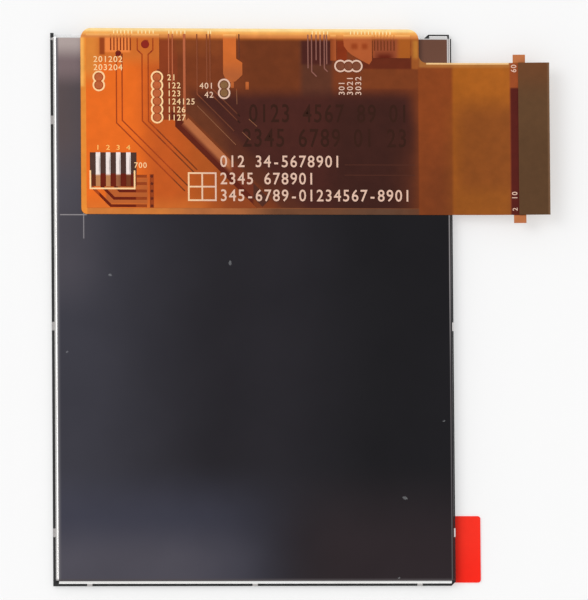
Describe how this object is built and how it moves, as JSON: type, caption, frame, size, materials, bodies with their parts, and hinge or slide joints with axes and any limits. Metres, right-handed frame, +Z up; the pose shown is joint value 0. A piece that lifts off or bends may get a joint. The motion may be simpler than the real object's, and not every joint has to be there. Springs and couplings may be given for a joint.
{
  "type": "small display module with a folded flexible circuit",
  "caption": "Small flat display module lying face down: steel-backed glass panel with a flexible circuit folded over its top edge, a stiffened contact tail at one side and a red pull tab.",
  "frame": {"origin": "centre of the module's outline on its lowest face, the outer face of the protective film over the picture side", "axes": "+X to the right towards the contact tail, +Y towards the edge where the circuit folds over, +Z up out of the steel back"},
  "size_m": [0.0609, 0.0678, 0.0031],
  "materials": {
    "clear_film": "clear smooth protective film",
    "red_film": "bright red satin film",
    "polariser_film": "nearly black glossy film",
    "black_resin": "black moulded resin",
    "panel_glass": "clear thin panel glass",
    "picture_metal": "thin grey metal film",
    "sealant": "cured pale sealant",
    "drying_paper": "off-white drying sheet",
    "cushion_foam": "black sticky foam sheet",
    "tray_steel": "smooth dark steel back with bright bent walls",
    "chip_silicon": "dark grey ground silicon",
    "bond_film": "cured bonding film",
    "sticky_tape": "pale double-sided tape",
    "amber_polyimide": "glossy amber polyimide, dark brown over the steel back",
    "stiffener_polyimide": "satin olive brown stiffener",
    "gold_contacts": "gold plated contacts",
    "covered_copper": "copper seen orange through glossy cover film",
    "covered_copper_dull": "dull orange brown copper under glossy cover film",
    "tinned_copper": "bright tinned pads",
    "bare_copper": "dull pinkish copper pads",
    "white_ink": "warm white printed marking ink"
  },
  "bodies": {
    "root": {"protective_film": "clear_film", "pull_tab": "red_film", "polariser": "polariser_film", "moulded_frame": "black_resin", "array_glass": "panel_glass", "picture_layer": "picture_metal", "seal_bead": "sealant", "drying_sheet": "drying_paper", "cover_glass": "panel_glass", "cushion_sheet": "cushion_foam", "rear_tray": "tray_steel", "driver_chip": "chip_silicon", "bond_strip": "bond_film", "ledge_bead": "sealant", "flap_tape": "sticky_tape", "flex_circuit": "amber_polyimide", "tail_stiffener": "stiffener_polyimide", "tail_contacts": "gold_contacts", "copper_pour": "covered_copper", "supply_band": "covered_copper_dull", "signal_tracks": "covered_copper_dull", "copper_islands": "covered_copper", "via_row": "covered_copper_dull", "jumper_pads": "tinned_copper", "test_pads": "bare_copper", "marking_ink": "white_ink"}
  },
  "joints": []
}
